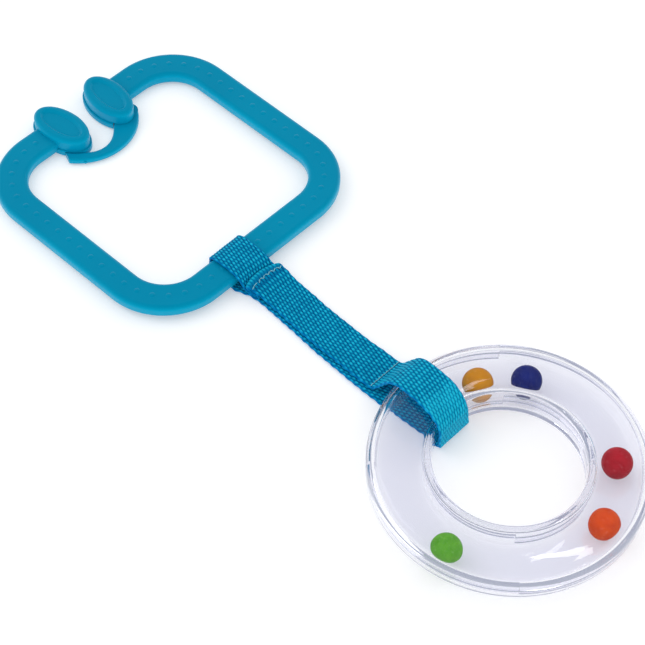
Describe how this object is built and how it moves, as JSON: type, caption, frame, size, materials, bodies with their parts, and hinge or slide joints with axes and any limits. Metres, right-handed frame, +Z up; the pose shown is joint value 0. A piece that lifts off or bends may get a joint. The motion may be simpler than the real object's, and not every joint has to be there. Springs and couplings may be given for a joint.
{
  "type": "baby rattle",
  "caption": "Baby rattle: a clear hollow ring with loose coloured balls, held by a webbing strap to an open square link that clips over a bar with a flexible snap gate.",
  "frame": {"origin": "middle of the object's footprint, on the plane it lies on", "axes": "+Z up, +X along the strap from the link frame towards the clear ring"},
  "size_m": [0.2433, 0.0962, 0.0156],
  "materials": {
    "link_plastic": "satin teal-blue moulded plastic",
    "webbing": "woven teal-blue webbing",
    "thread": "pale sewing thread",
    "clear_plastic": "clear polished plastic",
    "ball_yellow": "waxy mustard yellow",
    "ball_blue": "waxy dark blue",
    "ball_red": "waxy red",
    "ball_orange": "waxy orange",
    "ball_green": "waxy green"
  },
  "bodies": {
    "link": {"link_frame": "link_plastic"},
    "gate_arm": {"snap_gate_arm": "link_plastic"},
    "link_loop": {"webbing_link_loop": "webbing", "webbing_hem": "webbing", "stitch_seam_link": "thread"},
    "strap": {"webbing_upper_ply": "webbing", "webbing_lower_ply": "webbing"},
    "ring_loop": {"webbing_ring_loop": "webbing", "stitch_seam_ring": "thread"},
    "ring": {"ring_upper_shell": "clear_plastic", "ring_lower_shell": "clear_plastic"},
    "ball_yellow": {"ball_yellow": "ball_yellow"},
    "ball_blue": {"ball_blue": "ball_blue"},
    "ball_red": {"ball_red": "ball_red"},
    "ball_orange": {"ball_orange": "ball_orange"},
    "ball_green": {"ball_green": "ball_green"}
  },
  "joints": [
    {"name": "gate_flex", "type": "hinge", "parent": "link", "child": "gate_arm", "pos_m": [-0.10224, 0.0145, 0.00138], "axis": [-0.015, 0, 0.9999], "range_deg": [0, 20], "stiffness_Nm_per_rad": 0.02},
    {"name": "loop_slide", "type": "slide", "parent": "link", "child": "link_loop", "axis": [0, 1, 0], "range_m": [-0.0078, 0.0248]},
    {"name": "strap_bend_link", "type": "hinge", "parent": "link_loop", "child": "strap", "pos_m": [-0.01282, -0.006, 0.00125], "axis": [0, 1, 0], "range_deg": [-70, 70]},
    {"name": "strap_bend_ring", "type": "hinge", "parent": "strap", "child": "ring_loop", "pos_m": [0.02898, -0.006, 0.00125], "axis": [0, 1, 0], "range_deg": [-70, 70]},
    {"name": "ring_turn", "type": "hinge", "parent": "ring_loop", "child": "ring", "pos_m": [0.08052, -0.0069, 0.00656], "axis": [0.0213, 0, 0.9998], "continuous": true},
    {"name": "ball_yellow_run", "type": "hinge", "parent": "ring", "child": "ball_yellow", "pos_m": [0.08052, -0.0069, 0.00656], "axis": [0.0213, 0, 0.9998], "continuous": true},
    {"name": "ball_blue_run", "type": "hinge", "parent": "ball_yellow", "child": "ball_blue", "pos_m": [0.08052, -0.0069, 0.00656], "axis": [0.0213, 0, 0.9998], "range_deg": [-28.8, 9.8]},
    {"name": "ball_red_run", "type": "hinge", "parent": "ball_blue", "child": "ball_red", "pos_m": [0.08052, -0.0069, 0.00656], "axis": [0.0213, 0, 0.9998], "range_deg": [-28.8, 56.5]},
    {"name": "ball_orange_run", "type": "hinge", "parent": "ball_red", "child": "ball_orange", "pos_m": [0.08052, -0.0069, 0.00656], "axis": [0.0213, 0, 0.9998], "range_deg": [-28.8, 21.9]},
    {"name": "ball_green_run", "type": "hinge", "parent": "ball_orange", "child": "ball_green", "pos_m": [0.08052, -0.0069, 0.00656], "axis": [0.0213, 0, 0.9998], "range_deg": [-28.8, 71.4]}
  ]
}
